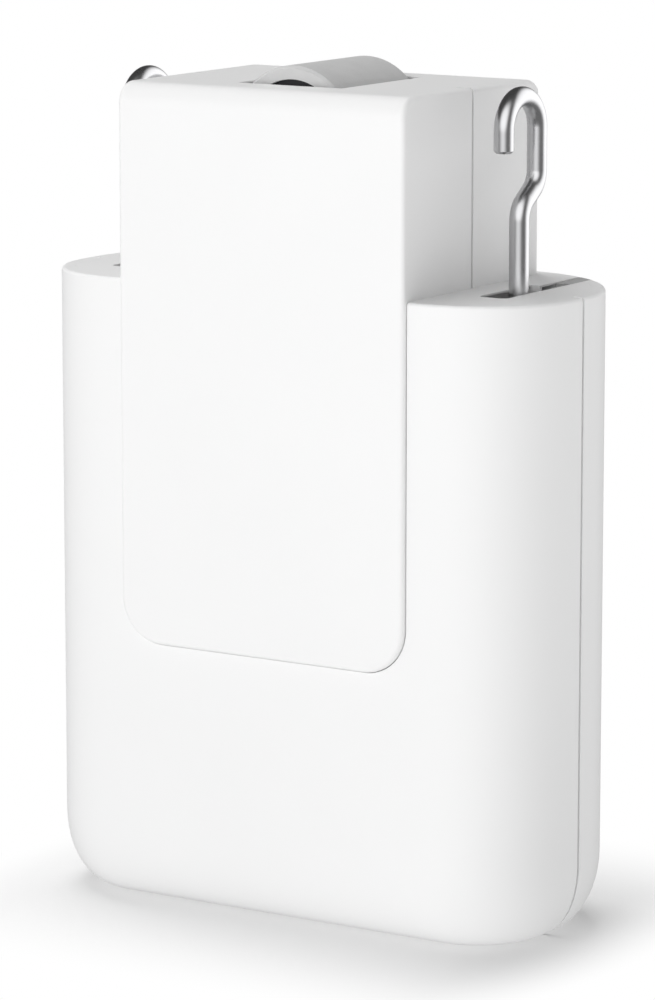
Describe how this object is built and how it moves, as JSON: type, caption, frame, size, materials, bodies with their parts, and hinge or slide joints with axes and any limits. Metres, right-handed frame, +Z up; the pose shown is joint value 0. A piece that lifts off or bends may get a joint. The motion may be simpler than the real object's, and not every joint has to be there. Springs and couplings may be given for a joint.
{
  "type": "smart curtain robot",
  "caption": "Hang-on curtain robot: rounded white body, a tower with a driven roller on top, and sprung steel wire hooks beside it.",
  "frame": {"origin": "middle of the overall box, on the flat base", "axes": "+Z up to the tower, +X to the right across the body, -Y towards the front panel"},
  "size_m": [0.0948, 0.0452, 0.1388],
  "materials": {
    "shell_white": "satin",
    "tyre_grey": "matte",
    "core_black": "matte",
    "hook_steel": "polished",
    "guide_grey": "matte",
    "frame_grey": "matte",
    "gear_natural": "satin",
    "bright_steel": "brushed",
    "bush_brass": "satin",
    "cell_wrap": "gloss",
    "board_green": "satin",
    "chip_black": "matte",
    "lamp_clear": "clear"
  },
  "bodies": {
    "housing": {"front_shell": "shell_white", "back_cover": "shell_white", "shoulder_deck": "shell_white", "front_panel": "shell_white", "tower_back": "shell_white", "tower_cap": "shell_white", "roller_bushes": "bush_brass", "bearing_frame": "frame_grey", "gear_cover": "frame_grey", "cover_screws": "bright_steel", "frame_screws": "bright_steel", "gear_motor": "bright_steel", "motor_screws": "bright_steel", "idler_pin": "bright_steel", "hook_guide_left": "guide_grey", "hook_guide_right": "guide_grey", "inner_frame": "frame_grey", "battery_cells": "cell_wrap", "main_board": "board_green", "radio_shield": "bright_steel", "board_parts": "chip_black", "board_screws": "bright_steel", "usb_socket": "bright_steel", "reset_switch": "chip_black", "status_led": "lamp_clear", "light_pipe": "lamp_clear", "case_screws": "bright_steel", "hook_spring_left": "bright_steel", "hook_spring_right": "bright_steel"},
    "roller": {"roller_tyre": "tyre_grey", "roller_hub": "core_black", "roller_axle": "bright_steel", "roller_gear": "gear_natural", "axle_clips": "bright_steel"},
    "idler": {"idler_gear": "gear_natural"},
    "drive": {"drive_gear": "gear_natural"},
    "left_hook": {"hook_left": "hook_steel", "hook_collar_left": "core_black"},
    "right_hook": {"hook_right": "hook_steel", "hook_collar_right": "core_black"},
    "button": {"reset_button": "guide_grey"}
  },
  "joints": [
    {"name": "roller_spin", "type": "hinge", "parent": "housing", "child": "roller", "pos_m": [0, 0, 0.12745], "axis": [0, 1, 0], "continuous": true},
    {"name": "idler_spin", "type": "hinge", "parent": "housing", "child": "idler", "pos_m": [0, 0, 0.11425], "axis": [0, 1, 0], "continuous": true},
    {"name": "drive_spin", "type": "hinge", "parent": "housing", "child": "drive", "pos_m": [0, 0, 0.09665], "axis": [0, 1, 0], "continuous": true},
    {"name": "left_hook_pull", "type": "slide", "parent": "housing", "child": "left_hook", "axis": [0, 0, 1], "range_m": [0, 0.012], "stiffness_N_per_m": 400, "springref_m": -0.005, "deforming": ["hook_spring_left"]},
    {"name": "right_hook_pull", "type": "slide", "parent": "housing", "child": "right_hook", "axis": [0, 0, 1], "range_m": [0, 0.012], "stiffness_N_per_m": 400, "springref_m": -0.005, "deforming": ["hook_spring_right"]},
    {"name": "button_press", "type": "slide", "parent": "housing", "child": "button", "axis": [0, 0, 1], "range_m": [0, 0.0006], "stiffness_N_per_m": 1500, "springref_m": -0.0005}
  ],
  "couplings": [
    {"joint": "idler_spin", "follows": "roller_spin", "ratio": -0.65},
    {"joint": "drive_spin", "follows": "roller_spin", "ratio": 0.54167}
  ]
}
